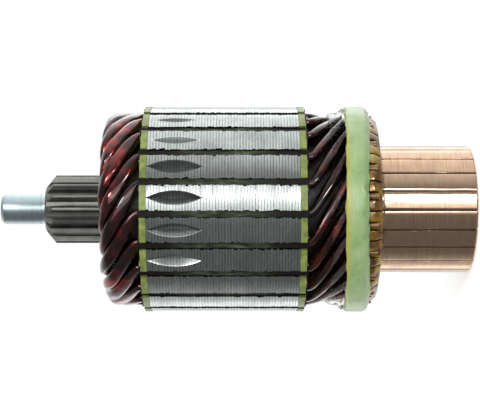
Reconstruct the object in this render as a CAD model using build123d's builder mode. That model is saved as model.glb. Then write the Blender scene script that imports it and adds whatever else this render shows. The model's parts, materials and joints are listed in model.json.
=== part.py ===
from build123d import *
from math import cos, hypot, pi, radians, sin, tan
import os

# Armature of a gear-reduction starter motor, standing on its commutator end.
# The shaft axis is Z, the drive end is up and the origin is at the middle of the commutator's end face.
# Sizes are in millimetres and angles in degrees, and an angle is counted from +X about +Z.

# Slots, bars and coils
slot_count = 21
coil_pitch_slots = 5
core_turn = -92.6
commutator_turn = 1.5

# Lengths along the shaft, from the commutator's end face upwards
track_length = 30.8
riser_length = 4.9
lead_span = 19.2
plate_thickness = 2.0
core_length = 47.8
overhang_length = 13.1
gear_above_nose = 19.9
relief_length = 1.9
pilot_length = 13.1

# Diameters, and what stands out past them
commutator_diameter = 42.0
core_diameter = 67.4
plate_overhang = 0.25
riser_cover = 0.2
band_thickness = 2.1
pilot_diameter = 10.0
relief_depth = 0.25

# Sun gear
gear_teeth = 16
gear_module = 1.25
pressure_angle = 20.0
gear_length = 26.0
gear_chamfer = 3.0
gear_face_diameter = 15.2

# Shaft inside the armature
core_seat_diameter = 24.0
shoulder_step = 1.5
shoulder_length = 4.0
shaft_recess = 1.0
pilot_chamfer = 1.0

# Journal bush
bush_pocket_wall = 2.5
bush_wall = 1.5
bush_length = 16.0
bush_recess = 0.5
bush_pocket_depth = 3.0
bush_chamfer = 0.4

# Slots in the stack
yoke_depth = 9.9
mouth_width = 1.9
plate_mouth_step = 0.2
tooth_tip = 1.3

# Slot insulation
liner_thickness = 0.25
liner_overhang = 0.6
wedge_thickness = 0.4
wedge_set_back = 0.5
paper_fit = 0.05
coil_fit = 0.1

# Coils of flat copper: edge-on in the slots and the leads, turned flat at the drive end
conductor_width = 2.8
turned_width = 3.5
turned_depth = 2.7
inner_turned_width = 2.6
inner_turned_depth = 3.9
layer_gap = 0.5
neck_dip = 1.1
riser_lead_drop = 0.3
lead_end_gap = 0.1
sleeve_thickness = 0.2
sleeve_fit = 0.22
twist_length = 4.0
overhang_ramp = 0.075
overhang_skew = 0.08
overhang_span_count = 8
lead_ramp = 0.13
lead_span_count = 4
bend_step = 0.01

# Band and its resin
band_flat_length = 6.9
band_lower_height = 1.6
band_riser_overlap = 2.0
band_fit = 0.15
envelope_span_count = 3
resin_length = 4.6
resin_edge = 0.3

# Commutator
bar_gap = 0.55
bar_depth = 4.5
dovetail_depth = 2.7
dovetail_neck_inset = 6.0
dovetail_foot_inset = 3.0
mica_undercut = 0.7
mica_end_recess = 0.3
mica_fit = 0.01
riser_base_rise = 0.7
riser_back_rise = 2.6
riser_back_depth = 1.8
riser_end_wall = 1.9
riser_slot_fit = 0.05
bar_end_chamfer = 0.6
hub_recess = 0.6
hub_collar = 1.3
hub_wall = 1.8
sleeve_wall = 2.0

# Balance cuts by a V-edged disc, as tooth number from the camera side and cut depth
cutter_radius = 17.4
cutter_half_angle = 45.0
cutter_half_width = 4.0
cut_depths = {-2: 2.1, -1: 2.2, 0: 2.3, 1: 2.3, 2: 1.7, 3: 1.25}
cut_offset = 8.8
nick_depth = 0.5
nick_radius = 4.0
nick_height = 22.9
nick_tooth_share = -3.64

# Places worked out from the sizes above
slot_angle = 360 / slot_count
riser_top = track_length + riser_length
lower_plate_bottom = riser_top + lead_span
core_bottom = lower_plate_bottom + plate_thickness
core_top = core_bottom + core_length
upper_plate_top = core_top + plate_thickness
nose_top = upper_plate_top + overhang_length
gear_top = nose_top + gear_above_nose
gear_bottom = gear_top - gear_length
pilot_bottom = gear_top + relief_length
overall_length = pilot_bottom + pilot_length

core_radius = core_diameter / 2
plate_radius = core_radius + plate_overhang
core_seat_radius = core_seat_diameter / 2
track_radius = commutator_diameter / 2
bar_inner_radius = track_radius - bar_depth
bar_foot_radius = bar_inner_radius - dovetail_depth
sleeve_outer_radius = bar_foot_radius - hub_wall
hub_seat_radius = sleeve_outer_radius - sleeve_wall
bush_outer_radius = hub_seat_radius - bush_pocket_wall
relief_radius = pilot_diameter / 2 - relief_depth

slot_width = conductor_width + 2 * (coil_fit + liner_thickness + paper_fit)
slot_top_radius = core_radius - tooth_tip
slot_bottom_radius = core_seat_radius + yoke_depth
wedge_top_radius = slot_top_radius - paper_fit
top_layer_outer = wedge_top_radius - wedge_thickness - paper_fit
bottom_layer_inner = slot_bottom_radius + liner_thickness + paper_fit
conductor_depth = (top_layer_outer - bottom_layer_inner - layer_gap) / 2
top_layer_radius = top_layer_outer - conductor_depth / 2
bottom_layer_radius = bottom_layer_inner + conductor_depth / 2
riser_radius = top_layer_outer - riser_lead_drop + riser_cover
band_radius = riser_radius + band_fit + band_thickness
lead_end = track_length + riser_end_wall + lead_end_gap

liner_bottom = lower_plate_bottom - liner_overhang
liner_top = upper_plate_top + liner_overhang
liner_length = liner_top - liner_bottom

gear_pitch_radius = gear_teeth * gear_module / 2
gear_tip_radius = gear_pitch_radius + gear_module
gear_root_radius = gear_pitch_radius - 1.25 * gear_module

os.makedirs("parts", exist_ok=True)


def finish(piece, name):
    piece.label = name
    export_step(piece, f"parts/{name}.step")


def polar(radius, angle, height=0.0):
    return Vector(radius * cos(radians(angle)), radius * sin(radians(angle)), height)


# Shaft with the sun gear

def involute_point(base_radius, roll):
    x = base_radius * (cos(roll) + roll * sin(roll))
    y = base_radius * (sin(roll) - roll * cos(roll))
    return Vector(x, y)


def flank_point(radius):
    """A point of the tooth flank, turned so that the tooth space is centred on the X axis."""
    base_radius = gear_pitch_radius * cos(radians(pressure_angle))
    roll = (max(radius / base_radius, 1.0) ** 2 - 1) ** 0.5
    pitch_roll = tan(radians(pressure_angle))
    pitch_point = involute_point(base_radius, pitch_roll)
    pitch_turn = Vector(1, 0).get_angle(pitch_point)
    quarter_pitch = 90 / gear_teeth
    point = involute_point(base_radius, roll)
    if radius < base_radius:
        point = Vector(radius, 0)
    return point.rotate(Axis.Z, quarter_pitch - pitch_turn)


with BuildSketch() as tooth_space:
    with BuildLine():
        root_point = flank_point(gear_root_radius)
        pitch_point = flank_point(gear_pitch_radius)
        tip_point = flank_point(gear_tip_radius)
        outer_point = tip_point + (tip_point - pitch_point)
        Line(root_point, pitch_point)
        Line(pitch_point, tip_point)
        Line(tip_point, outer_point)
        Line(outer_point, (outer_point.X, -outer_point.Y))
        mirror(about=Plane.XZ)
        Line(root_point, (root_point.X, -root_point.Y))
    make_face()

with BuildPart() as armature_shaft:
    with BuildSketch(Plane.XZ):
        with BuildLine():
            pocket_top = shaft_recess + bush_length + bush_pocket_depth
            Polyline(
                (0, pocket_top + bush_outer_radius / 2),
                (bush_outer_radius, pocket_top),
                (bush_outer_radius, shaft_recess),
                (hub_seat_radius, shaft_recess),
                (hub_seat_radius, riser_top + hub_collar),
                (core_seat_radius, riser_top + hub_collar + core_seat_radius - hub_seat_radius),
                (core_seat_radius, upper_plate_top),
                (core_seat_radius + shoulder_step, upper_plate_top),
                (core_seat_radius + shoulder_step, upper_plate_top + shoulder_length),
                (gear_tip_radius, gear_bottom),
                (gear_tip_radius, gear_top - gear_chamfer),
                (gear_face_diameter / 2, gear_top),
                (relief_radius, gear_top),
                (relief_radius, pilot_bottom),
                (pilot_diameter / 2, pilot_bottom),
                (pilot_diameter / 2, overall_length - pilot_chamfer),
                (pilot_diameter / 2 - pilot_chamfer, overall_length),
                (0, overall_length),
                close=True,
            )
        make_face()
    revolve(axis=Axis.Z)
    with BuildSketch(Plane.XY.offset(gear_bottom)):
        with PolarLocations(0, gear_teeth, start_angle=-90 + 180 / gear_teeth):
            add(tooth_space.sketch)
    extrude(amount=gear_length, mode=Mode.SUBTRACT)
finish(armature_shaft.part, "armature_shaft")


# Journal bush in the shaft's end

with BuildPart() as journal_bush:
    with BuildSketch(Plane.XY.offset(shaft_recess + bush_recess)):
        Circle(bush_outer_radius)
        Circle(bush_outer_radius - bush_wall, mode=Mode.SUBTRACT)
    extrude(amount=bush_length)
    lower_circles = journal_bush.edges().filter_by(GeomType.CIRCLE).group_by(Axis.Z)[0]
    chamfer(lower_circles.sort_by(SortBy.RADIUS)[0], bush_chamfer)
finish(journal_bush.part, "journal_bush")


# Laminated stack and its end plates

def slot_outline(mouth):
    """One slot as a sketch: a square-sided body and a narrower mouth."""
    depth = slot_top_radius - slot_bottom_radius
    with BuildSketch() as outline:
        with Locations((slot_bottom_radius + depth / 2, 0)):
            Rectangle(depth, slot_width)
        with Locations((slot_top_radius, 0)):
            Rectangle(4 * tooth_tip, mouth)
    return outline.sketch


def toothed_ring(outer_radius, mouth):
    """The flat shape of a lamination or an end plate."""
    with BuildSketch() as ring:
        Circle(outer_radius)
        Circle(core_seat_radius, mode=Mode.SUBTRACT)
        with PolarLocations(0, slot_count, start_angle=core_turn):
            add(slot_outline(mouth), mode=Mode.SUBTRACT)
    return ring.sketch


def v_cut(tooth_angle, height, radius, depth):
    """A cut by a V-edged disc that turns in the tooth's own plane."""
    outward = polar(1, tooth_angle)
    centre = polar(core_radius + radius - depth, tooth_angle, height)
    half_width = min(cutter_half_width, radius / 2)
    edge_drop = half_width / tan(radians(cutter_half_angle))
    with BuildSketch(Plane(origin=centre, x_dir=-outward, z_dir=(0, 0, 1))) as disc_half:
        with BuildLine():
            Polyline(
                (0, half_width),
                (radius - edge_drop, half_width),
                (radius, 0),
                (radius - edge_drop, -half_width),
                (0, -half_width),
                close=True,
            )
        make_face()
    sideways = polar(1, tooth_angle + 90)
    revolve(disc_half.sketch, axis=Axis(centre, sideways), mode=Mode.SUBTRACT)


with BuildPart() as core_laminations:
    with BuildSketch(Plane.XY.offset(core_bottom)):
        add(toothed_ring(core_radius, mouth_width))
    extrude(amount=core_length)
    for tooth, cut_depth in cut_depths.items():
        tooth_angle = core_turn + slot_angle * (tooth + 0.5)
        v_cut(tooth_angle, core_top - cut_offset, cutter_radius, cut_depth)
    nick_angle = core_turn + slot_angle * (nick_tooth_share + 0.5)
    v_cut(nick_angle, core_bottom + nick_height, nick_radius, nick_depth)
finish(core_laminations.part, "core_laminations")

with BuildPart() as end_plate_commutator:
    with BuildSketch(Plane.XY.offset(lower_plate_bottom)):
        add(toothed_ring(plate_radius, mouth_width + 2 * plate_mouth_step))
    extrude(amount=plate_thickness)
finish(end_plate_commutator.part, "end_plate_commutator")

with BuildPart() as end_plate_drive:
    with BuildSketch(Plane.XY.offset(core_top)):
        add(toothed_ring(plate_radius, mouth_width + 2 * plate_mouth_step))
    extrude(amount=plate_thickness)
finish(end_plate_drive.part, "end_plate_drive")


# Slot liners and the strips that close the mouths

def liner_outline():
    """A folded liner, open towards the slot's mouth."""
    low = slot_bottom_radius + paper_fit
    high = wedge_top_radius - wedge_thickness
    width = slot_width - 2 * paper_fit
    with BuildSketch() as outline:
        with Locations((low, 0)):
            Rectangle(high - low, width, align=(Align.MIN, Align.CENTER))
        with Locations((low + liner_thickness, 0)):
            inner_width = width - 2 * liner_thickness
            Rectangle(high, inner_width, align=(Align.MIN, Align.CENTER), mode=Mode.SUBTRACT)
    return outline.sketch


def wedge_outline():
    """A closing strip: a flange under the tooth tips and a tongue in the mouth."""
    width = slot_width - 2 * paper_fit
    tongue = core_radius - wedge_set_back - wedge_top_radius
    with BuildSketch() as outline:
        with Locations((wedge_top_radius - wedge_thickness, 0)):
            Rectangle(wedge_thickness, width, align=(Align.MIN, Align.CENTER))
        with Locations((wedge_top_radius, 0)):
            Rectangle(tongue, mouth_width - 2 * paper_fit, align=(Align.MIN, Align.CENTER))
    return outline.sketch


with BuildPart() as slot_liners:
    with BuildSketch(Plane.XY.offset(liner_bottom)):
        with PolarLocations(0, slot_count, start_angle=core_turn):
            add(liner_outline())
    extrude(amount=liner_length)
finish(slot_liners.part, "slot_liners")

with BuildPart() as slot_wedges:
    with BuildSketch(Plane.XY.offset(liner_bottom)):
        with PolarLocations(0, slot_count, start_angle=core_turn):
            add(wedge_outline())
    extrude(amount=liner_length)
finish(slot_wedges.part, "slot_wedges")


# Hairpin coils

def ease(share, ramp):
    """Runs from 0 to 1 at an even rate, with a soft start and a soft stop."""
    share = min(max(share, 0.0), 1.0)
    if share < ramp:
        return share * share / (2 * ramp * (1 - ramp))
    if share > 1 - ramp:
        return 1 - (1 - share) ** 2 / (2 * ramp * (1 - ramp))
    return (share - ramp / 2) / (1 - ramp)


def mix(low, high, share):
    share = min(max(share, 0.0), 1.0)
    return low + (high - low) * share * share * (3 - 2 * share)


nose_outer_radius = top_layer_outer
turned_top_radius = nose_outer_radius - turned_depth / 2
turned_bottom_radius = bottom_layer_inner + inner_turned_depth / 2
nose_radius = (turned_top_radius - turned_bottom_radius) / 2
nose_middle = (turned_top_radius + turned_bottom_radius) / 2
nose_centre_rise = nose_top - liner_top - nose_radius - turned_depth / 2
nose_arc = pi * nose_radius
overhang_path = 2 * nose_centre_rise + nose_arc


def overhang_point(along):
    """Radius, height and turn of a coil's middle line over the drive end, and its width and depth there."""
    back = overhang_path - along
    width = mix(conductor_width, turned_width, along / twist_length)
    depth = mix(conductor_depth, turned_depth, along / twist_length)
    if along > nose_centre_rise:
        across = (along - nose_centre_rise) / nose_arc
        width = mix(turned_width, inner_turned_width, across)
        depth = mix(turned_depth, inner_turned_depth, (across - 0.5) * 2)
    if back < twist_length:
        width = mix(conductor_width, inner_turned_width, back / twist_length)
        depth = mix(conductor_depth, inner_turned_depth, back / twist_length)
    if along < nose_centre_rise:
        radius = top_layer_outer - depth / 2
        height = liner_top + along
    elif back < nose_centre_rise:
        radius = bottom_layer_inner + depth / 2
        height = liner_top + back
    else:
        swing = pi * (along - nose_centre_rise) / nose_arc
        radius = nose_middle + nose_radius * cos(swing)
        height = liner_top + nose_centre_rise + nose_radius * sin(swing)
    share = along / overhang_path
    skewed = share + overhang_skew * (share * share - share)
    turn = -coil_pitch_slots * slot_angle * ease(skewed, overhang_ramp)
    return radius, turn, height, width, depth


lead_bend_length = lead_span - riser_length / 2 - liner_overhang


def lead_point(along, layer_radius, sweep):
    """The same for a lead, from the lower end plate down to its riser."""
    share = min(max(along / lead_bend_length, 0.0), 1.0)
    dip = neck_dip * sin(pi * share) ** 2
    radius = mix(layer_radius, layer_radius - riser_lead_drop, share) - dip
    turn = sweep * ease(share, lead_ramp)
    return radius, turn, liner_bottom - along, conductor_width, conductor_depth


def cross_section(path_point, along, start_turn, back_step, ahead_step):
    """A cross-section of the conductor, square to its middle line, with its flats facing the shaft."""
    radius, turn, height, width, depth = path_point(along)
    before = path_point(along - back_step)
    after = path_point(along + ahead_step)
    start = polar(before[0], start_turn + before[1], before[2])
    ahead = polar(after[0], start_turn + after[1], after[2]) - start
    rise = after[2] - before[2]
    spread = after[0] - before[0]
    size = hypot(rise, spread)
    outward = polar(rise / size, start_turn + turn, -spread / size)
    section = Plane(origin=polar(radius, start_turn + turn, height), x_dir=outward, z_dir=ahead)
    with BuildSketch(section) as profile:
        Rectangle(depth, width)
    return profile.sketch


def bend_sections(path_point, length, spans, start_turn):
    """A bent stretch, whose first and last sections are square to the straight stretches that they meet."""
    sections = []
    for number in range(spans + 1):
        back_step = 0 if number == spans else bend_step
        ahead_step = 0 if number == 0 else bend_step
        along = length * number / spans
        sections.append(cross_section(path_point, along, start_turn, back_step, ahead_step))
    return sections


half_reach = coil_pitch_slots * slot_angle / 2
top_sweep = half_reach + commutator_turn
bottom_sweep = commutator_turn - half_reach
bottom_turn = core_turn - coil_pitch_slots * slot_angle
end_length = liner_bottom - lead_bend_length - lead_end


def top_lead_point(along):
    """The upper layer's lead, from its bend's lower end up to the slot."""
    return lead_point(lead_bend_length - along, top_layer_radius, top_sweep)


def bottom_lead_point(along):
    return lead_point(along, bottom_layer_radius, bottom_sweep)


with BuildPart() as coil_form:
    top_end = cross_section(top_lead_point, -end_length, core_turn, bend_step, bend_step)
    top_lead = bend_sections(top_lead_point, lead_bend_length, lead_span_count, core_turn)
    hairpin = bend_sections(overhang_point, overhang_path, overhang_span_count, core_turn)
    bottom_lead = bend_sections(bottom_lead_point, lead_bend_length, lead_span_count, bottom_turn)
    bottom_end_along = lead_bend_length + end_length
    bottom_end = cross_section(bottom_lead_point, bottom_end_along, bottom_turn, bend_step, bend_step)
    loft([top_end, *top_lead, *hairpin, *bottom_lead, bottom_end], ruled=True)

for number in range(slot_count):
    with BuildPart() as coil:
        add(coil_form.part.rotate(Axis.Z, number * slot_angle))
    finish(coil.part, f"coil_{number + 1:02d}")


# Sleeves between the two layers outside the stack

sleeve_inner_drive = bottom_layer_radius + conductor_depth / 2 + (layer_gap - sleeve_thickness) / 2

with BuildPart() as layer_sleeve_drive:
    with BuildSketch(Plane.XY.offset(liner_top)):
        Circle(sleeve_inner_drive + sleeve_thickness)
        Circle(sleeve_inner_drive, mode=Mode.SUBTRACT)
    extrude(amount=nose_centre_rise)
finish(layer_sleeve_drive.part, "layer_sleeve_drive")

with BuildPart() as layer_sleeve_commutator:
    outer_points = []
    for number in range(lead_span_count + 1):
        along = lead_bend_length * number / lead_span_count
        radius, turn, height, width, depth = lead_point(along, top_layer_radius, 0)
        outer_points.append((radius - depth / 2 - sleeve_fit, height))
    inner_points = [(radius - sleeve_thickness, height) for radius, height in reversed(outer_points)]
    with BuildSketch(Plane.XZ):
        with BuildLine():
            Polyline(*outer_points, *inner_points, close=True)
        make_face()
    revolve(axis=Axis.Z)
finish(layer_sleeve_commutator.part, "layer_sleeve_commutator")


# Binding band and its resin

lead_outer = conductor_depth / 2
band_bottom = riser_top - band_riser_overlap
band_flat_bottom = band_bottom + band_lower_height
band_flat_top = band_flat_bottom + band_flat_length
resin_top = band_flat_top + resin_length


def lead_envelope(height):
    """Radius that just clears the outer face of the top leads at a height."""
    radius = lead_point(liner_bottom - height, top_layer_radius, 0)[0]
    return radius + lead_outer + band_fit


def lead_envelope_line(start, end):
    """Points of that clearing line, evenly spaced from one height to another."""
    numbers = range(envelope_span_count + 1)
    heights = [start + (end - start) * number / envelope_span_count for number in numbers]
    return [(lead_envelope(height), height) for height in heights]


with BuildPart() as binding_band:
    with BuildSketch(Plane.XZ):
        with BuildLine():
            band_seat = riser_radius + band_fit
            Polyline(
                (band_seat, band_bottom),
                (band_seat + resin_edge, band_bottom),
                (band_radius, band_flat_bottom),
                (band_radius, band_flat_top),
                *lead_envelope_line(band_flat_top, riser_top),
                (band_seat, riser_top),
                close=True,
            )
        make_face()
    revolve(axis=Axis.Z)
finish(binding_band.part, "binding_band")

with BuildPart() as band_resin:
    with BuildSketch(Plane.XZ):
        with BuildLine():
            resin_middle = (band_flat_top + resin_top) / 2
            inner_line = lead_envelope_line(resin_top, band_flat_top)
            low_outer = (band_radius - resin_edge, band_flat_top)
            high_outer = (inner_line[0][0] + resin_edge, resin_top)
            middle_outer = ((low_outer[0] + high_outer[0]) / 2 - resin_edge, resin_middle)
            Polyline(low_outer, middle_outer, high_outer, *inner_line, close=True)
        make_face()
    revolve(axis=Axis.Z)
finish(band_resin.part, "band_resin")


# Commutator

riser_back = track_length + riser_base_rise
riser_floor = track_length + riser_end_wall
riser_slot_bottom = bottom_layer_inner - riser_lead_drop - riser_slot_fit


def side_plane(angle):
    """The upright plane through the shaft axis at an angle, with its x axis pointing outwards."""
    return Plane(origin=(0, 0, 0), x_dir=polar(1, angle), z_dir=polar(1, angle - 90))


with BuildPart() as bar_form:
    with BuildSketch(side_plane(-slot_angle / 2)):
        with BuildLine():
            Polyline(
                (riser_radius, riser_top),
                (bar_inner_radius, riser_top),
                (bar_inner_radius, riser_top - dovetail_neck_inset),
                (bar_foot_radius, riser_top - dovetail_foot_inset),
                (bar_foot_radius, dovetail_foot_inset),
                (bar_inner_radius, dovetail_neck_inset),
                (bar_inner_radius, 0),
                (track_radius - bar_end_chamfer, 0),
                (track_radius, bar_end_chamfer),
                (track_radius, track_length),
                (riser_radius - riser_back_depth, riser_back),
                (riser_radius, riser_back + riser_back_rise),
                close=True,
            )
        make_face()
    revolve(axis=Axis.Z, revolution_arc=slot_angle)
    for side in (-1, 1):
        edge_plane = side_plane(side * slot_angle / 2).offset(side * bar_gap / 2)
        split(bisect_by=edge_plane, keep=Keep.BOTTOM if side < 0 else Keep.TOP)
    with BuildSketch(Plane.XY.offset(riser_floor)):
        with Locations((riser_slot_bottom, 0)):
            Rectangle(riser_radius, conductor_width + 2 * riser_slot_fit, align=(Align.MIN, Align.CENTER))
    extrude(amount=riser_length, mode=Mode.SUBTRACT)

for number in range(slot_count):
    with BuildPart() as commutator_bar:
        bar_turn = core_turn + commutator_turn + slot_angle * (number + 0.5)
        add(bar_form.part.rotate(Axis.Z, bar_turn))
    finish(commutator_bar.part, f"commutator_bar_{number + 1:02d}")

with BuildPart() as mica_separators:
    mica_neck_inset = dovetail_neck_inset + mica_fit
    mica_foot_inset = dovetail_foot_inset + mica_fit
    for number in range(slot_count):
        gap_turn = core_turn + commutator_turn + slot_angle * number
        with BuildSketch(side_plane(gap_turn)):
            with BuildLine():
                Polyline(
                    (track_radius - mica_undercut, mica_end_recess),
                    (track_radius - mica_undercut, riser_top),
                    (bar_inner_radius, riser_top),
                    (bar_inner_radius, riser_top - mica_neck_inset),
                    (bar_foot_radius, riser_top - mica_foot_inset),
                    (bar_foot_radius, mica_foot_inset),
                    (bar_inner_radius, mica_neck_inset),
                    (bar_inner_radius, mica_end_recess),
                    close=True,
                )
            make_face()
        extrude(amount=bar_gap / 2, both=True)
finish(mica_separators.part, "mica_separators")

with BuildPart() as commutator_hub:
    with BuildSketch(Plane.XZ):
        with BuildLine():
            Polyline(
                (sleeve_outer_radius, hub_recess),
                (bar_inner_radius, hub_recess),
                (bar_inner_radius, dovetail_neck_inset),
                (bar_foot_radius, dovetail_foot_inset),
                (bar_foot_radius, riser_top - dovetail_foot_inset),
                (bar_inner_radius, riser_top - dovetail_neck_inset),
                (bar_inner_radius, riser_top + hub_collar),
                (sleeve_outer_radius, riser_top + hub_collar),
                close=True,
            )
        make_face()
    revolve(axis=Axis.Z)
finish(commutator_hub.part, "commutator_hub")

with BuildPart() as commutator_sleeve:
    with BuildSketch(Plane.XY.offset(hub_recess)):
        Circle(sleeve_outer_radius)
        Circle(hub_seat_radius, mode=Mode.SUBTRACT)
    extrude(amount=riser_top + hub_collar - hub_recess)
finish(commutator_sleeve.part, "commutator_sleeve")
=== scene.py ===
import json

import bmesh
import bpy
import numpy as np
from mathutils import Matrix, Vector


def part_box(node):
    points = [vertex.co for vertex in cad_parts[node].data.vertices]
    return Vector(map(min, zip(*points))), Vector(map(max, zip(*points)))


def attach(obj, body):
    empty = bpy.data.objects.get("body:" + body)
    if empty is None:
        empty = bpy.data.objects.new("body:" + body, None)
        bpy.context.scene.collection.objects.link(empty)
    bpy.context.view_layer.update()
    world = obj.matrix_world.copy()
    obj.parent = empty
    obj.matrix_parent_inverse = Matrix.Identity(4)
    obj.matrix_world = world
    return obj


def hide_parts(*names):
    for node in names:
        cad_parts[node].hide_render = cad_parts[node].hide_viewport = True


# The looks of the motor armature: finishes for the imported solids, and finer meshes for the strands, the
# sheets of the core, the band and the resin
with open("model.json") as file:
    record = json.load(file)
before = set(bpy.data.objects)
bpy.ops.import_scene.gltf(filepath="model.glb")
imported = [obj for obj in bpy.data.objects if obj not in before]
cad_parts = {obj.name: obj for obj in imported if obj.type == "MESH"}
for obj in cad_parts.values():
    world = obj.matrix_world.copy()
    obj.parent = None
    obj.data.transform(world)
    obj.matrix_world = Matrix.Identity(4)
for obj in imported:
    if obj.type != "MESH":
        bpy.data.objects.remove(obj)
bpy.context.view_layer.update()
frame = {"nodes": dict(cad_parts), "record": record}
nodes = frame["nodes"]
rng = np.random.default_rng(7)

# Metres, with +Z along the shaft towards the drive end
mm = 0.001

# The winding and the slots, with the same values as in the part's source
slot_count = 21
slot_angle = 360 / slot_count
core_turn = -92.6
commutator_turn = 1.5
coil_pitch = 5
conductor_width = 2.8 * mm
conductor_depth = 4.6 * mm
inner_turned_depth = 3.9 * mm
top_layer_radius = 29.6 * mm
bottom_layer_radius = 24.5 * mm
layer_outer = top_layer_radius + conductor_depth / 2
layer_inner = bottom_layer_radius - conductor_depth / 2
twist_length = 4.0 * mm
overhang_ramp = 0.075
overhang_skew = 0.08
lead_bend_length = 16.15 * mm
lead_ramp = 0.13
neck_dip = 1.1 * mm
riser_lead_drop = 0.3 * mm
top_sweep = commutator_turn + coil_pitch / 2 * slot_angle
bottom_sweep = commutator_turn - coil_pitch / 2 * slot_angle
slot_half_width = 1.8 * mm
mouth_half_width = 0.95 * mm
slot_top_radius = 32.4 * mm
slot_bottom_radius = 21.9 * mm
core_bore = 12.0 * mm

# Balance cuts, with the same values as in the part's source. The depths are in millimetres, by tooth
cutter_radius = 17.4 * mm
cut_offset = 8.8 * mm
cut_depths = {-2: 2.1, -1: 2.2, 0: 2.3, 1: 2.3, 2: 1.7, 3: 1.25}

# Places that the frame gives
core_low, core_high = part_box("core_laminations")
core_radius = core_high.x
liner_low, liner_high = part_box("slot_liners")
coil_low, coil_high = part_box("coil_01")
band_low, band_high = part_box("binding_band")
resin_low, resin_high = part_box("band_resin")
shaft_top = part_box("armature_shaft")[1].z
riser_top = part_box("commutator_bar_01")[1].z
core_middle = (core_low.z + core_high.z) / 2

# The strands are fuller here than in the part's source, because varnish rounds them and fills their gaps
turned_width = 4.3 * mm
turned_depth = 3.0 * mm
inner_turned_width = 3.3 * mm
lead_swell = 0.9 * mm
strand_sides = 14
corner_power = 0.78
overhang_steps = 64
lead_steps = 26

# How far one strand differs from the next: lengths, degrees about the axis, and a slow swell along it
nose_spread = 0.3 * mm
push_spread = 0.12 * mm
overhang_lean = 0.5
lead_lean = 0.35
swell_share = 0.03
swell_run = 40

# The sheets of the core, and how ragged the corners of their teeth are
sheet_count = 51
sheet_groove = 0.03 * mm
sheet_edge = 0.08 * mm
sheet_set_back = 0.012 * mm
corner_wear = 0.16 * mm
torn_share = 0.12
torn_width = 0.35 * mm
widest_wear = 0.6 * mm
least_cut = 0.12 * mm
top_steps = 9
side_steps = 4

# The band and the resin: points around the axis, and how far a rim lies higher at front and back
lathe_steps = 252
upper_rim_lean = 1.8 * mm
lower_rim_lean = 2.3 * mm


# Material helpers

class Nodes:
    """Short calls for the nodes of a material or of the world."""

    def __init__(self, tree):
        self.tree = tree

    def add(self, kind, mode=None, **inputs):
        """A new node. An input is a plain value or another node's output."""
        node = self.tree.nodes.new(kind)
        if mode:
            node.operation = mode
        for name, value in inputs.items():
            self.feed(node.inputs[name.replace("_", " ")], value)
        return node

    def feed(self, socket, value):
        if isinstance(value, bpy.types.NodeSocket):
            self.tree.links.new(value, socket)
        else:
            socket.default_value = value

    def math(self, mode, first, second=0.0):
        node = self.add("ShaderNodeMath", mode)
        self.feed(node.inputs[0], first)
        self.feed(node.inputs[1], second)
        return node.outputs[0]

    def step(self, value, low, high, before=0.0, after=1.0):
        """A smooth change from before to after as the value goes from low to high."""
        node = self.add("ShaderNodeMapRange", Value=value, From_Min=low, From_Max=high)
        self.feed(node.inputs["To Min"], before)
        self.feed(node.inputs["To Max"], after)
        node.interpolation_type = "SMOOTHSTEP"
        return node.outputs[0]

    def glow(self, strength, colour):
        """Plain light from a background."""
        return self.add("ShaderNodeBackground", Strength=strength, Color=(*colour, 1)).outputs[0]

    def choose(self, share, first, second):
        """A mix of two shaders."""
        node = self.add("ShaderNodeMixShader")
        for socket, value in zip(node.inputs, (share, first, second)):
            self.feed(socket, value)
        return node.outputs[0]


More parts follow.
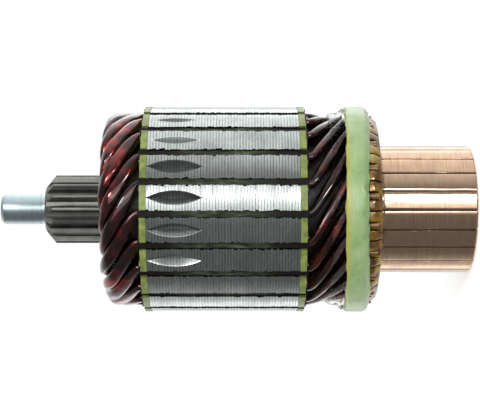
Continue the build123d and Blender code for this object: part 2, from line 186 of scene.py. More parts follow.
class Look(Nodes):
    """A material, with short calls for its pattern and its shader."""

    def __init__(self, name, **values):
        self.material = bpy.data.materials.new(name)
        self.material.use_nodes = True
        super().__init__(self.material.node_tree)
        self.shader = self.tree.nodes["Principled BSDF"]
        for socket, value in values.items():
            self.set(socket.replace("_", " "), value)
        self.place = self.add("ShaderNodeTexCoord").outputs["Object"]
        self.axes = self.add("ShaderNodeSeparateXYZ", Vector=self.place).outputs

    def set(self, socket, value):
        self.feed(self.shader.inputs[socket], value)

    def noise(self, size, stretch=(1, 1, 1), detail=3.0, rough=0.55):
        """Noise from 0 to 1 with features of about that size in metres, stretched along the axes."""
        scale = [1 / (size * factor) for factor in stretch]
        spread = self.add("ShaderNodeMapping", Vector=self.place, Scale=scale).outputs[0]
        node = self.add("ShaderNodeTexNoise", Vector=spread, Scale=1.0, Detail=detail, Roughness=rough)
        return node.outputs[0]

    def ramp(self, value, *stops):
        """Colours at positions from 0 to 1."""
        node = self.add("ShaderNodeValToRGB", Fac=value)
        points = node.color_ramp.elements
        while len(points) < len(stops):
            points.new(0.5)
        for point, (position, colour) in zip(points, stops):
            point.position = position
            point.color = (*colour, 1)
        return node.outputs[0]

    def blend(self, share, first, second):
        """A mix of two colours. The colours are the mix node's sockets 6 and 7, and its output 2."""
        node = self.add("ShaderNodeMix")
        node.data_type = "RGBA"
        for place, value in ((0, share), (6, first), (7, second)):
            self.feed(node.inputs[place], (*value, 1) if isinstance(value, tuple) else value)
        return node.outputs[2]

    def bump(self, height, depth, strength=1.0, below=None):
        """Relief of that depth in metres, laid over other relief if it is given."""
        node = self.add("ShaderNodeBump", Height=height, Distance=depth, Strength=strength)
        if below:
            self.feed(node.inputs["Normal"], below)
        self.set("Normal", node.outputs[0])
        return node.outputs[0]

    def angle(self):
        """The turn about the shaft axis, in radians."""
        return self.math("ARCTAN2", self.axes["Y"], self.axes["X"])

    def radius(self):
        """The distance from the shaft axis."""
        squares = [self.math("MULTIPLY", self.axes[name], self.axes[name]) for name in "XY"]
        return self.math("SQRT", self.math("ADD", *squares))

    def reach(self, middle):
        """The distance along the shaft from a height."""
        return self.math("ABSOLUTE", self.math("SUBTRACT", self.axes["Z"], middle))

    def mouth_distance(self):
        """0 in the middle of a slot and 1 in the middle of a tooth."""
        turns = self.math("DIVIDE", self.angle(), np.radians(slot_angle))
        shifted = self.math("SUBTRACT", turns, core_turn / slot_angle)
        return self.math("MULTIPLY", self.math("PINGPONG", shifted, 0.5), 2.0)


# Materials

def sheet_joints(look):
    """1 on the joints between the sheets and 0 on the sheets, with breaks where a burr hides the joint."""
    pitch = (core_high.z - core_low.z) / sheet_count
    from_joint = look.math("PINGPONG", look.math("SUBTRACT", look.axes["Z"], core_low.z), pitch / 2)
    joint = look.step(from_joint, 0.1 * pitch, 0.32 * pitch, 1.0, 0.0)
    burrs = look.step(look.noise(1.6 * mm, stretch=(1, 1, 0.5)), 0.3, 0.65, 0.25, 0.7)
    return look.math("MULTIPLY", joint, burrs)


def varnish_stain(look):
    """How far varnish stains the teeth: most at their corners near both ends of the core."""
    near_end = look.step(look.reach(core_middle), 13 * mm, 24 * mm)
    wander = look.math("MULTIPLY", look.noise(4 * mm, stretch=(1, 1, 3)), 0.45)
    edge = look.math("ADD", look.mouth_distance(), wander)
    near_mouth = look.step(edge, 0.3, 0.52, 1.0, 0.0)
    strength = look.math("ADD", look.math("MULTIPLY", near_end, 0.75), 0.15)
    return look.math("MULTIPLY", near_mouth, strength)


def core_steel_look():
    """Turned sheet steel: each sheet has its own grey, and the balance cuts are duller, with painted shade
    darkening them and the slot mouths.
    """
    joint_grey, patch_grey = (0.12, 0.13, 0.12), (0.15, 0.16, 0.155)
    # The second grey on the next line is painted shade for the balance cuts and the slot mouths; the brown
    # is varnish.
    stain_brown, cut_shade_grey = (0.055, 0.035, 0.035), (0.07, 0.08, 0.075)
    look = Look("core_steel", Metallic=1.0)
    sheets = look.noise(0.9 * mm, stretch=(30, 30, 1), detail=1.0)
    patches = look.noise(9 * mm, detail=4.0)
    steel = look.ramp(sheets, (0.3, (0.40, 0.43, 0.415)), (0.7, (0.48, 0.515, 0.50)))
    grey = look.blend(sheet_joints(look), steel, joint_grey)
    worn = look.blend(look.step(patches, 0.35, 0.7, 0.0, 0.35), grey, patch_grey)
    stained = look.blend(varnish_stain(look), worn, stain_brown)
    # Below the turned surface, in the balance cuts and down the slot mouths, the colour is mixed towards a
    # dark grey as painted shade, and the roughness rises for the milled finish.
    below = look.math("SUBTRACT", core_radius, look.radius())
    milled_and_shaded = look.step(below, 0.12 * mm, 0.35 * mm)
    look.set("Base Color", look.blend(look.math("MULTIPLY", milled_and_shaded, 0.6), stained, cut_shade_grey))
    roughness = look.step(patches, 0.3, 0.75, 0.14, 0.24)
    look.set("Roughness", look.math("ADD", roughness, look.math("MULTIPLY", milled_and_shaded, 0.12)))
    rings = look.noise(0.12 * mm, stretch=(60, 60, 1), detail=2.0)
    look.bump(rings, 0.005 * mm, 0.25)
    return look.material


def shaft_steel_look():
    """Ground bright steel on the journal, darker oiled steel on the gear."""
    look = Look("shaft_steel", Metallic=1.0)
    journal_start = shaft_top - 15.2 * mm
    fine = look.noise(0.35 * mm, stretch=(25, 25, 1), detail=3.0)
    patches = look.noise(5 * mm, detail=3.0)
    bright = look.ramp(fine, (0.3, (0.36, 0.43, 0.45)), (0.7, (0.46, 0.54, 0.56)))
    dark = look.ramp(patches, (0.3, (0.15, 0.15, 0.13)), (0.7, (0.23, 0.23, 0.205)))
    on_journal = look.step(look.axes["Z"], journal_start, journal_start + 0.6 * mm)
    look.set("Base Color", look.blend(on_journal, dark, bright))
    look.set("Roughness", look.step(on_journal, 0.0, 1.0, 0.44, 0.36))
    look.bump(fine, 0.006 * mm, 0.3)
    return look.material


def winding_look():
    """Copper seen through dark red varnish, nearly black where it is thick, and amber in the risers."""
    lead_black, riser_amber = (0.006, 0.001, 0.001), (0.20, 0.10, 0.02)
    look = Look("winding_copper", Coat_Weight=1.0, Coat_Roughness=0.02, Coat_IOR=1.5)
    thick = look.noise(7 * mm, detail=2.0)
    fine = look.noise(0.9 * mm, stretch=(1, 1, 2), detail=3.0)
    red = look.ramp(
        thick,
        (0.32, (0.010, 0.002, 0.002)),
        (0.50, (0.050, 0.004, 0.003)),
        (0.68, (0.240, 0.015, 0.008)),
    )
    at_riser = look.step(look.axes["Z"], coil_low.z + 1.5 * mm, coil_low.z + 3.5 * mm, 1.0, 0.0)
    on_leads = look.step(look.axes["Z"], core_low.z - 4 * mm, core_low.z, 0.5, 0.0)
    varnish = look.blend(on_leads, red, lead_black)
    look.set("Base Color", look.blend(at_riser, varnish, riser_amber))
    look.set("Metallic", look.step(at_riser, 0.0, 1.0, 0.95, 0.4))
    look.set("Roughness", look.step(fine, 0.3, 0.7, 0.24, 0.34))
    runs = look.bump(look.noise(2.6 * mm, detail=2.0), 0.6 * mm, 0.5)
    look.bump(fine, 0.06 * mm, 0.25, below=runs)
    return look.material


def green_plate_look():
    """Yellow-green insulating sheet, mottled by varnish and darker by the slots."""
    slot_brown = (0.06, 0.05, 0.018)
    look = Look("green_plate", Coat_Weight=0.35, Coat_Roughness=0.25)
    mottle = look.noise(2.2 * mm, detail=4.0)
    green = look.ramp(
        mottle,
        (0.3, (0.115, 0.15, 0.03)),
        (0.5, (0.20, 0.255, 0.05)),
        (0.72, (0.33, 0.38, 0.10)),
    )
    near_slot = look.step(look.mouth_distance(), 0.16, 0.34, 0.75, 0.0)
    look.set("Base Color", look.blend(near_slot, green, slot_brown))
    look.set("Roughness", look.step(mottle, 0.3, 0.7, 0.35, 0.6))
    look.bump(look.noise(0.5 * mm, detail=3.0), 0.06 * mm, 0.4)
    return look.material


def paper_look():
    """Pale slot paper soaked with varnish in places."""
    look = Look("liner_paper", Coat_Weight=0.4, Coat_Roughness=0.2)
    soak = look.noise(1.8 * mm, detail=4.0)
    paper = look.ramp(
        soak,
        (0.38, (0.12, 0.10, 0.06)),
        (0.55, (0.42, 0.42, 0.31)),
        (0.70, (0.66, 0.66, 0.58)),
    )
    look.set("Base Color", paper)
    look.set("Roughness", look.step(soak, 0.3, 0.7, 0.3, 0.55))
    look.bump(look.noise(0.3 * mm), 0.04 * mm, 0.4)
    return look.material


def wedge_look():
    """Grey-green fibre strips under varnish, brown to black near both ends."""
    end_brown = (0.009, 0.007, 0.004)
    look = Look("wedge_fibre", Specular_IOR_Level=0.2)
    grain = look.noise(1.2 * mm, stretch=(1, 1, 5), detail=4.0)
    fibre = look.ramp(
        grain,
        (0.40, (0.012, 0.014, 0.008)),
        (0.58, (0.050, 0.062, 0.034)),
        (0.76, (0.180, 0.215, 0.140)),
    )
    wander = look.math("ADD", look.reach(core_middle), look.math("MULTIPLY", grain, 10 * mm))
    near_end = look.step(wander, 15 * mm, 24 * mm)
    look.set("Base Color", look.blend(near_end, fibre, end_brown))
    look.set("Roughness", look.step(grain, 0.3, 0.7, 0.45, 0.7))
    look.bump(grain, 0.3 * mm, 0.8)
    return look.material


def resin_look():
    """Clear, slightly smoky resin with a glossy skin."""
    look = Look("clear_resin", IOR=1.04, Transmission_Weight=1.0)
    cloud = look.noise(4 * mm, detail=3.0)
    look.set("Base Color", look.ramp(cloud, (0.35, (0.78, 0.80, 0.78)), (0.7, (0.90, 0.91, 0.90))))
    look.set("Roughness", look.step(cloud, 0.3, 0.7, 0.04, 0.1))
    return look.material


def band_look():
    """Glass fibre wound around the leads and soaked in pale green resin, more yellow along its rims."""
    fibre_green, rim_yellow = (0.48, 0.60, 0.37), (0.42, 0.44, 0.11)
    look = Look("glass_band", Coat_Weight=0.4, Coat_Roughness=0.25)
    look.set("Subsurface Weight", 0.15)
    look.set("Subsurface Scale", 2 * mm)
    fibres = look.noise(0.5 * mm, stretch=(24, 24, 1), detail=3.0)
    cloud = look.noise(6 * mm, detail=4.0)
    pale = look.ramp(cloud, (0.3, (0.26, 0.40, 0.15)), (0.7, (0.39, 0.53, 0.25)))
    drawn = look.blend(look.step(fibres, 0.45, 0.75, 0.0, 0.3), pale, fibre_green)
    wander = look.math("MULTIPLY", look.noise(3 * mm, stretch=(2, 2, 1)), 1.2 * mm)
    reach = look.math("ADD", look.reach((band_low.z + band_high.z) / 2), wander)
    rim = look.step(reach, 3.4 * mm, 4.6 * mm)
    look.set("Base Color", look.blend(rim, drawn, rim_yellow))
    look.set("Roughness", look.step(cloud, 0.3, 0.7, 0.25, 0.42))
    look.bump(fibres, 0.03 * mm, 0.4)
    return look.material


def bar_copper_look():
    """Copper run in by brushes on the track, with a painted orange glow along its lower end, under amber
    varnish on the risers.
    """
    film_brown, painted_end_glow = (0.42, 0.27, 0.19), (0.80, 0.42, 0.20)
    look = Look("bar_copper", Coat_Roughness=0.12)
    rings = look.noise(0.22 * mm, stretch=(40, 40, 1), detail=3.0)
    patches = look.noise(6 * mm, detail=4.0)
    copper = look.ramp(rings, (0.3, (0.46, 0.305, 0.20)), (0.7, (0.59, 0.42, 0.295)))
    film = look.blend(look.step(patches, 0.42, 0.7, 0.0, 0.45), copper, film_brown)
    # A painted orange glow along the lowest millimetre of the bars, at the commutator's end face.
    near_end = look.step(look.axes["Z"], 0.2 * mm, 1.2 * mm, 0.3, 0.0)
    track = look.blend(near_end, film, painted_end_glow)
    drops = look.noise(4.5 * mm, detail=3.0)
    amber = look.ramp(
        drops,
        (0.32, (0.05, 0.020, 0.005)),
        (0.46, (0.19, 0.085, 0.012)),
        (0.60, (0.42, 0.250, 0.035)),
        (0.72, (0.34, 0.310, 0.090)),
    )
    above = look.math("ADD", look.axes["Z"], look.math("MULTIPLY", look.noise(2 * mm), 1.2 * mm))
    varnished = look.step(above, riser_top - 5.6 * mm, riser_top - 4.6 * mm)
    look.set("Base Color", look.blend(varnished, track, amber))
    look.set("Metallic", look.step(varnished, 0.0, 1.0, 1.0, 0.45))
    look.set("Coat Weight", look.step(varnished, 0.0, 1.0, 0.0, 1.0))
    look.set("Roughness", look.step(patches, 0.3, 0.7, 0.12, 0.24))
    fine = look.bump(rings, 0.006 * mm, 0.25)
    look.bump(look.math("MULTIPLY", drops, varnished), 0.5 * mm, 0.5, below=fine)
    return look.material


def plain_look(name, low, high, grain, rough, metallic=0.0):
    """A material that varies between two colours, for pieces that are mostly hidden."""
    look = Look(name, Metallic=metallic)
    pattern = look.noise(grain, detail=4.0)
    look.set("Base Color", look.ramp(pattern, (0.3, low), (0.7, high)))
    look.set("Roughness", look.step(pattern, 0.3, 0.7, rough - 0.08, rough + 0.1))
    look.bump(pattern, 0.04 * mm, 0.3)
    return look.material


# Dark and light tones of the pieces that are mostly hidden
paper_tones = (0.004, 0.003, 0.002), (0.014, 0.008, 0.006)
mica_tones = (0.03, 0.024, 0.016), (0.10, 0.08, 0.05)
moulding_tones = (0.035, 0.02, 0.012), (0.075, 0.045, 0.03)
steel_tones = (0.30, 0.31, 0.32), (0.45, 0.46, 0.47)
bronze_tones = (0.36, 0.23, 0.10), (0.55, 0.38, 0.18)

looks = {
    "shaft_steel": shaft_steel_look(),
    "core_steel": core_steel_look(),
    "green_plate": green_plate_look(),
    "liner_paper": paper_look(),
    "wedge_fibre": wedge_look(),
    "winding_copper": winding_look(),
    "clear_resin": resin_look(),
    "glass_band": band_look(),
    "bar_copper": bar_copper_look(),
    "dark_paper": plain_look("dark_paper", *paper_tones, 1.6 * mm, 0.5),
    "mica": plain_look("mica", *mica_tones, 1.0 * mm, 0.6),
    "hub_moulding": plain_look("hub_moulding", *moulding_tones, 1.5 * mm, 0.45),
    "sleeve_steel": plain_look("sleeve_steel", *steel_tones, 2.0 * mm, 0.35, metallic=1.0),
    "bush_bronze": plain_look("bush_bronze", *bronze_tones, 0.8 * mm, 0.42, metallic=1.0),
}


# Piece helpers

def make_piece(name, points, faces, slot, replaced, crease):
    """A piece of the object, from points and faces, that stands for CAD nodes. Edges sharper than the
    crease, in degrees, stay sharp."""
    mesh = bpy.data.meshes.new(name)
    mesh.from_pydata(points, [], faces)
    skin = bmesh.new()
    skin.from_mesh(mesh)
    bmesh.ops.recalc_face_normals(skin, faces=skin.faces)
    skin.to_mesh(mesh)
    skin.free()
    mesh.polygons.foreach_set("use_smooth", [True] * len(mesh.polygons))
    mesh.set_sharp_from_angle(angle=np.radians(crease))
    mesh.materials.append(looks[slot])
    piece = bpy.data.objects.new(name, mesh)
    bpy.context.scene.collection.objects.link(piece)
    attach(piece, "root")
    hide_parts(*replaced)


def skin_faces(rows, around, ring=False):
    """Quads between rows of points that each close on themselves. A ring also joins its last row to the
    first."""
    last = rows if ring else rows - 1
    row = np.arange(last)[:, None] * around
    following = (np.arange(last)[:, None] + 1) % rows * around
    column = np.arange(around)
    beside = (column + 1) % around
    quads = np.stack([row + column, row + beside, following + beside, following + column], axis=-1)
    return quads.reshape(-1, 4).tolist()


def around_axis(radius, angle, height):
    """Points from distances, angles in degrees and heights. One plain height goes for all the angles."""
    turn = np.radians(angle)
    return np.stack([radius * np.cos(turn), radius * np.sin(turn), height + 0 * turn], axis=-1)


# The winding

def ease(share, ramp):
    """From 0 to 1 at a steady rate, with soft starts and stops."""
    share = np.clip(share, 0, 1)
    rising = share ** 2 / (2 * ramp * (1 - ramp))
    falling = 1 - (1 - share) ** 2 / (2 * ramp * (1 - ramp))
    steady = (share - ramp / 2) / (1 - ramp)
    return np.where(share < ramp, rising, np.where(share > 1 - ramp, falling, steady))


def mix(low, high, share):
    """A smooth change between two values."""
    share = np.clip(share, 0, 1)
    return low + (high - low) * share ** 2 * (3 - 2 * share)


def lead_run(along, layer_radius, sweep):
    """Radius, turn and height along a lead, from the slot's end to the riser."""
    share = np.clip(along / lead_bend_length, 0, 1)
    dip = neck_dip * np.sin(np.pi * share) ** 2
    radius = mix(layer_radius, layer_radius - riser_lead_drop, share) - dip
    return radius, sweep * ease(share, lead_ramp), liner_low.z - along


def overhang_run(nose_rise):
    """Radius, turn, height, width and depth over the drive end, from one slot to the other."""
    top_radius = layer_outer - turned_depth / 2
    inner_radius = layer_inner + inner_turned_depth / 2
    nose_radius = (top_radius - inner_radius) / 2
    nose_middle = (top_radius + inner_radius) / 2
    rise = coil_high.z - liner_high.z - nose_radius - turned_depth / 2 + nose_rise
    arc = np.pi * nose_radius
    along = np.linspace(0, 2 * rise + arc, overhang_steps)
    back = 2 * rise + arc - along
    around_nose = np.clip((along - rise) / arc, 0, 1)
    swing = around_nose * np.pi
    width = mix(turned_width, inner_turned_width, around_nose)
    depth = mix(turned_depth, inner_turned_depth, around_nose)
    near_slot = np.minimum(along, back) / twist_length
    width = mix(conductor_width, width, near_slot)
    depth = mix(conductor_depth, depth, near_slot)
    bend_radius = nose_middle + nose_radius * np.cos(swing)
    bend_height = rise + nose_radius * np.sin(swing)
    rising, falling = along < rise, back < rise
    radius = np.where(falling, layer_inner + depth / 2, bend_radius)
    radius = np.where(rising, layer_outer - depth / 2, radius)
    height = liner_high.z + np.where(rising, along, np.where(falling, back, bend_height))
    share = along / along[-1]
    turn = -coil_pitch * slot_angle * ease(share + overhang_skew * (share ** 2 - share), overhang_ramp)
    return radius, turn, height, width, depth


def strand_centre(number):
    """The middle line and the section of one hairpin, with small differences from strand to strand."""
    nose_rise, lean, push, top_lean, low_lean = rng.uniform(-1, 1, 5)
    along = np.linspace(0, liner_low.z - coil_low.z, lead_steps)
    top = lead_run(along[::-1], top_layer_radius, top_sweep)
    low = lead_run(along, bottom_layer_radius, bottom_sweep)
    over = overhang_run(nose_rise * nose_spread)
    bell = np.sin(np.pi * np.linspace(0, 1, overhang_steps)) ** 2
    lead_bell = np.sin(np.pi * np.clip(along / lead_bend_length, 0, 1)) ** 2
    radius = np.concatenate([top[0], over[0] + bell * push * push_spread, low[0]])
    turn = np.concatenate([
        top[1] + lead_bell[::-1] * top_lean * lead_lean,
        over[1] + bell * lean * overhang_lean,
        low[1] - coil_pitch * slot_angle + lead_bell * low_lean * lead_lean,
    ])
    height = np.concatenate([top[2], over[2], low[2]])
    lead_width = conductor_width + lead_swell * lead_bell
    lead_depth = np.full(lead_steps, conductor_depth)
    width = np.concatenate([lead_width[::-1], over[3], lead_width])
    depth = np.concatenate([lead_depth, over[4], lead_depth])
    return radius, turn + core_turn + number * slot_angle, height, width, depth


def strand_skin(number):
    """Rows of points around one hairpin: a rectangle with well rounded corners, set square to its path."""
    radius, turn, height, width, depth = strand_centre(number)
    centre = around_axis(radius, turn, height)
    tangent = np.gradient(centre, axis=0)
    tangent /= np.linalg.norm(tangent, axis=1, keepdims=True)
    out = around_axis(1.0, turn, 0.0)
    slope_out = np.gradient(radius)
    slope_up = np.gradient(height)
    size = np.hypot(slope_out, slope_up)
    normal = out * (slope_up / size)[:, None] - np.array([0, 0, 1.0]) * (slope_out / size)[:, None]
    side = np.cross(normal, tangent)
    side /= np.linalg.norm(side, axis=1, keepdims=True)
    angles = (np.arange(strand_sides) + 0.5) * 2 * np.pi / strand_sides
    across = np.sign(np.cos(angles)) * np.abs(np.cos(angles)) ** corner_power
    beside = np.sign(np.sin(angles)) * np.abs(np.sin(angles)) ** corner_power
    wave = np.linspace(0, swell_run, len(radius)) + rng.uniform(0, 6)
    swell = 1 + swell_share * np.sin(wave)
    depth_part = normal[:, None, :] * (across[None, :] * (depth * swell / 2)[:, None])[..., None]
    width_part = side[:, None, :] * (beside[None, :] * (width * swell / 2)[:, None])[..., None]
    return centre[:, None, :] + depth_part + width_part


def make_winding():
    """The hairpins, each in place of its coil."""
    for number in range(slot_count):
        rows = strand_skin(number)
        count = len(rows)
        faces = skin_faces(count, strand_sides)
        faces.append(list(range(strand_sides)))
        faces.append(list(range((count - 1) * strand_sides, count * strand_sides)))
        points = rows.reshape(-1, 3).tolist()
        name = f"{number + 1:02d}"
        make_piece("strand_" + name, points, faces, "winding_copper", ["coil_" + name], crease=60)


# The stack of sheets

def tooth_top(tooth, height, radius, start, end):
    """Radii and angles over the top of a tooth, and through its balance cut where it has one."""
    depth = cut_depths.get(tooth, cut_depths.get(tooth - slot_count, 0.0)) * mm
    if not depth:
        return np.full(top_steps, radius), np.linspace(start, end, top_steps)
    middle = core_turn + slot_angle * (tooth + 0.5)
    reach = abs(height - (core_high.z - cut_offset))
    drop = depth - (cutter_radius - np.sqrt(max(cutter_radius ** 2 - reach ** 2, 0)))
    half = np.degrees(max(drop, least_cut) / core_radius)
    angles = np.concatenate([
        np.linspace(start, middle - half, side_steps + 1)[:-1],
        middle + half * np.linspace(-1, 1, top_steps),
        np.linspace(middle + half, end, side_steps + 1)[1:],
    ])
    floor = core_radius - max(drop, 0) * (1 - np.abs((angles - middle) / half))
    inside = np.abs(angles - middle) < half
    return np.where(inside, np.minimum(floor, radius), radius), angles


def tooth_outline(tooth, height, radius, mouths):
    """One tooth's outline at a height, from the bottom of one slot to the bottom of the next. The mouths
    are half the width of the slot's mouth before the tooth and of the one after it."""
    before = core_turn + slot_angle * tooth
    after = before + slot_angle
    start = before + np.degrees(mouths[0] / core_radius)
    end = after - np.degrees(mouths[1] / core_radius)
    top_radii, top_angles = tooth_top(tooth, height, radius, start, end)
    walls = [(slot_bottom_radius, slot_half_width), (slot_top_radius, slot_half_width)]
    rising = walls + [(slot_top_radius, mouths[0])]
    falling = [(slot_top_radius, mouths[1])] + walls[::-1]
    rising_angles = [before + np.degrees(offset / distance) for distance, offset in rising]
    falling_angles = [after - np.degrees(offset / distance) for distance, offset in falling]
    radii = [distance for distance, offset in rising], top_radii, [distance for distance, offset in falling]
    angles = rising_angles, top_angles, falling_angles
    return around_axis(np.concatenate(radii), np.concatenate(angles), height)


def core_row(height, radius, mouths):
    """All the teeth at a height."""
    teeth = [tooth_outline(tooth, height, radius, mouths[tooth]) for tooth in range(slot_count)]
    return np.concatenate(teeth)


def make_laminations():
    """The stack of sheets. Each one stands back a little, and its tooth corners are ragged."""
    pitch = (core_high.z - core_low.z) / sheet_count
    rows = []
    ragged = mouth_half_width + np.abs(rng.normal(0, corner_wear, (sheet_count + 1, slot_count, 2)))
    torn = rng.random(ragged.shape) < torn_share
    ragged = np.minimum(ragged + torn * torn_width, mouth_half_width + widest_wear)
    set_back = np.abs(rng.normal(0, sheet_set_back, sheet_count + 1))
    for sheet in range(sheet_count):
        low = core_low.z + sheet * pitch
        radius = core_radius - set_back[sheet]
        rows.append(core_row(low, radius - sheet_groove, ragged[sheet]))
        for height in (low + sheet_edge, low + pitch - sheet_edge):
            rows.append(core_row(height, radius, ragged[sheet]))
    rows.append(core_row(core_high.z, core_radius - sheet_groove, ragged[-1]))
    count, around = len(rows), len(rows[0])
    outer = np.concatenate(rows)
    angles = np.degrees(np.arctan2(rows[0][:, 1], rows[0][:, 0]))
    bore = np.concatenate([around_axis(core_bore, angles, height) for height in (core_low.z, core_high.z)])
    faces = skin_faces(count, around)
    top_row, low_bore = (count - 1) * around, count * around
    high_bore = low_bore + around
    for column in range(around):
        beside = (column + 1) % around
        faces.append([column, low_bore + column, low_bore + beside, beside])
        faces.append([top_row + column, top_row + beside, high_bore + beside, high_bore + column])
        faces.append([low_bore + column, high_bore + column, high_bore + beside, low_bore + beside])
    points = np.concatenate([outer, bore]).tolist()
    make_piece("laminations", points, faces, "core_steel", ["core_laminations"], crease=28)


# The band and its resin

def ripple(angles, size, waves):
    """A smooth uneven line around the axis, from a few seeded waves."""
    turn = np.radians(angles)
    total = sum(rng.uniform(0.4, 1) * np.sin(wave * turn + rng.uniform(0, 6.3)) for wave in waves)
    return size * total / len(waves)


def make_lathe(name, profile, slot, replaced, rims, lumps):
    """A ring turned from its profile. By a point's place in the profile, rims gives a ripple and a lean
    along the axis, and lumps a ripple in radius."""
    angles = np.arange(lathe_steps) * 360 / lathe_steps
    to_front = (1 - np.cos(2 * np.radians(angles))) / 2
    rows = np.empty((lathe_steps, len(profile), 3))
    for column, (radius, height) in enumerate(profile):
        shift, lean = rims.get(column, (0.0, 0.0))
        lump = lumps.get(column, 0.0)
        height_line = height + lean * to_front + ripple(angles, shift, (7, 13, 22, 31))
        radius_line = radius - np.abs(ripple(angles, lump, (5, 11, 21))) if lump else radius
        rows[:, column] = around_axis(radius_line, angles, height_line)
    faces = skin_faces(lathe_steps, len(profile), ring=True)
    make_piece(name, rows.reshape(-1, 3).tolist(), faces, slot, replaced, crease=50)


def make_band():
    """The glass-fibre band, with rounded rims that wander and a slope up to the resin."""
    outer, low, flat_top = band_high.x, band_low.z, resin_low.z
    seat = 31.95 * mm
    lower_rim = [
        (seat, low),
        (seat + 0.5 * mm, low),
        (outer - 0.9 * mm, low + 0.7 * mm),
        (outer - 0.25 * mm, low + 1.3 * mm),
        (outer, low + 2.0 * mm),
    ]
    upper_rim = [
        (outer, flat_top - 1.6 * mm),
        (outer - 0.2 * mm, flat_top - 1.1 * mm),
        (outer - 0.8 * mm, flat_top - 0.9 * mm),
    ]
    inside = [(seat + 0.3 * mm, flat_top), (seat, low + 4 * mm)]
    rims = {column: (0.6 * mm, lower_rim_lean) for column in range(5)}
    rims.update({column: (0.5 * mm, upper_rim_lean) for column in range(5, 8)})
    lumps = {4: 0.1 * mm, 5: 0.1 * mm}
    make_lathe("tape_band", lower_rim + upper_rim + inside, "glass_band", ["binding_band"], rims, lumps)


def make_resin():
    """The clear fillet, hollow like a cove from the band's edge down to the leads."""
    low, high, outer = resin_low.z, resin_high.z, resin_high.x
    tall = high - low
    edge = 31.6 * mm
    foot = [
        (edge - 0.3 * mm, low),
        (outer - 0.35 * mm, low),
    ]
    cove = [
        (outer - 0.9 * mm, low + 0.175 * tall),
        (outer - 1.55 * mm, low + 0.35 * tall),
        (edge + 0.35 * mm, low + 0.65 * tall),
    ]
    lip = [
        (edge, high - 0.4 * mm),
        (edge - 0.35 * mm, high),
        (edge - 0.75 * mm, high - 0.3 * mm),
        (edge - 0.75 * mm, low + 1.5 * mm),
    ]
    rims = {4: (0.4 * mm, 0), 5: (0.6 * mm, 0), 6: (0.6 * mm, 0)}
    lumps = {3: 0.25 * mm, 4: 0.4 * mm}
    make_lathe("resin_fillet", foot + cove + lip, "clear_resin", ["band_resin"], rims, lumps)


# CAD nodes that stay, with worked edges

def work_edges(node):
    """Turn a CAD node's sharp edges into worn ones."""
    weld = node.modifiers.new("weld", "WELD")
    weld.merge_threshold = 0.002 * mm
    bevel = node.modifiers.new("worn_edges", "BEVEL")
    bevel.width = 0.1 * mm
    bevel.segments = 2
    bevel.limit_method = "ANGLE"
    bevel.angle_limit = np.radians(38)
    bevel.harden_normals = False


def dress_nodes():
    """Give each CAD node its material. The sleeves between the layers are nearly black."""
    slots = {entry["node"]: entry["material_slot"] for entry in frame["record"]["subparts"]}
    for name, node in nodes.items():
        look = "dark_paper" if name.startswith("layer_sleeve") else slots[name]
        node.data.materials.clear()
        node.data.materials.append(looks[look])
        if name.startswith(("commutator_bar", "armature_shaft")):
            work_edges(node)


# Camera, lights and floor

def make_camera():
    """Level with the shaft's middle and turned on its side, which puts the drive end at the left."""
    distance = 416.7 * mm
    shift = -0.27 * mm
    height = 75.67 * mm
    data = bpy.data.cameras.new("camera")
    data.lens = 93.75
    data.sensor_width = 36
    camera = bpy.data.objects.new("camera", data)
    bpy.context.scene.collection.objects.link(camera)
    turned = Matrix(((0, 1, 0), (0, 0, -1), (-1, 0, 0)))
    camera.matrix_world = Matrix.Translation((shift, -distance, height)) @ turned.to_4x4()
    bpy.context.scene.camera = camera


def make_lamp(name, direction, distance, size, power, aim):
    """A soft lamp in a direction from the place that it shines at."""
    data = bpy.data.lights.new(name, "AREA")
    data.shape = "RECTANGLE"
    data.size, data.size_y = size
    data.energy = power
    lamp = bpy.data.objects.new(name, data)
    lamp.location = aim + Vector(direction).normalized() * distance
    forward = (aim - lamp.location).normalized()
    lamp.rotation_mode = "QUATERNION"
    lamp.rotation_quaternion = forward.to_track_quat("-Z", "Y")
    bpy.context.scene.collection.objects.link(lamp)


def make_lights():
    """A key from the front, two small lamps for glints on the strands, and two lamps from behind."""
    aim = Vector((0, 0, 75 * mm))
    key = np.radians(12)
    front = (np.sin(key), -np.cos(key), 0)
    make_lamp("key_softbox", front, 0.8, (0.40, 1.15), 2.6, aim)
    make_lamp("key_tube", front, 0.79, (0.06, 0.6), 0.4, aim)
    make_lamp("drive_glint", (0.32, -0.80, 0.52), 0.8, (0.10, 0.22), 1.5, aim)
    make_lamp("commutator_glint", (0.30, -0.80, -0.52), 0.8, (0.10, 0.22), 1.5, aim)
    make_lamp("rim_softbox", (0.64, 0.77, 0.0), 0.8, (0.4, 0.7), 0.9, aim)
    make_lamp("lower_softbox", (-0.70, 0.72, 0.0), 0.8, (0.3, 0.7), 0.6, aim)


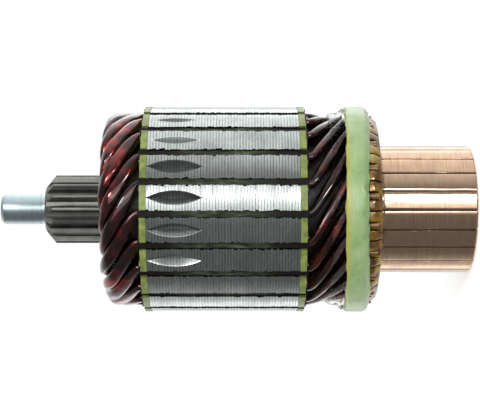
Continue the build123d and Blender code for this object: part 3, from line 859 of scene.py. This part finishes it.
def make_world():
    """An even pale room for light. The camera and clear pieces see plain white. Metal sees a white backdrop
    behind the object, a room that is dimmer in front, and a bright ceiling over the photo's upper side."""
    world = bpy.data.worlds.new("room")
    world.use_nodes = True
    world.node_tree.nodes.clear()
    room = Nodes(world.node_tree)
    rays = room.add("ShaderNodeLightPath").outputs
    place = room.add("ShaderNodeTexCoord").outputs["Generated"]
    axes = room.add("ShaderNodeSeparateXYZ", Vector=place).outputs
    behind = room.step(axes["Y"], -0.1, 0.6, 0.27, 1.0)
    slope = room.math("MULTIPLY", axes["X"], 0.06)
    ceiling = room.step(axes["X"], 0.5, 1.05, 0.0, 1.2)
    strength = room.math("ADD", room.math("ADD", slope, behind), ceiling)
    mirrored = room.glow(strength, (0.97, 0.99, 1.0))
    diffuse = room.glow(0.62, (0.98, 0.99, 1.0))
    white = room.glow(1.0, (1, 1, 1))
    seen = room.math("MAXIMUM", rays["Is Camera Ray"], rays["Is Transmission Ray"])
    lit = room.choose(rays["Is Glossy Ray"], diffuse, mirrored)
    room.add("ShaderNodeOutputWorld", Surface=room.choose(seen, lit, white))
    bpy.context.scene.world = world


def floor_look():
    """Pale paper whose own glow lifts it to the backdrop's white for the camera, glass and metal, so that
    only the object's shadow shows."""
    material = bpy.data.materials.new("paper_floor")
    material.use_nodes = True
    shader = material.node_tree.nodes["Principled BSDF"]
    shader.inputs["Base Color"].default_value = (0.86, 0.86, 0.86, 1)
    shader.inputs["Roughness"].default_value = 0.9
    shader.inputs["Specular IOR Level"].default_value = 0.1
    shader.inputs["Emission Color"].default_value = (1, 1, 1, 1)
    paper = Nodes(material.node_tree)
    rays = paper.add("ShaderNodeLightPath").outputs
    seen = paper.math("MAXIMUM", rays["Is Camera Ray"], rays["Is Transmission Ray"])
    lifted = paper.math("MAXIMUM", seen, rays["Is Glossy Ray"])
    paper.feed(shader.inputs["Emission Strength"], paper.math("MULTIPLY", lifted, 0.5))
    return material


def make_floor():
    """A plain floor, six metres each way. Metal doesn't mirror it."""
    reach = 6.0
    corners = [(-reach, -reach, 0), (reach, -reach, 0), (reach, reach, 0), (-reach, reach, 0)]
    mesh = bpy.data.meshes.new("floor")
    mesh.from_pydata(corners, [], [(0, 1, 2, 3)])
    mesh.materials.append(floor_look())
    floor = bpy.data.objects.new("floor", mesh)
    bpy.context.scene.collection.objects.link(floor)
    floor.visible_glossy = False


dress_nodes()
make_winding()
make_laminations()
make_band()
make_resin()
make_floor()
make_lights()
make_world()
make_camera()
bpy.context.scene.view_settings.view_transform = "Standard"
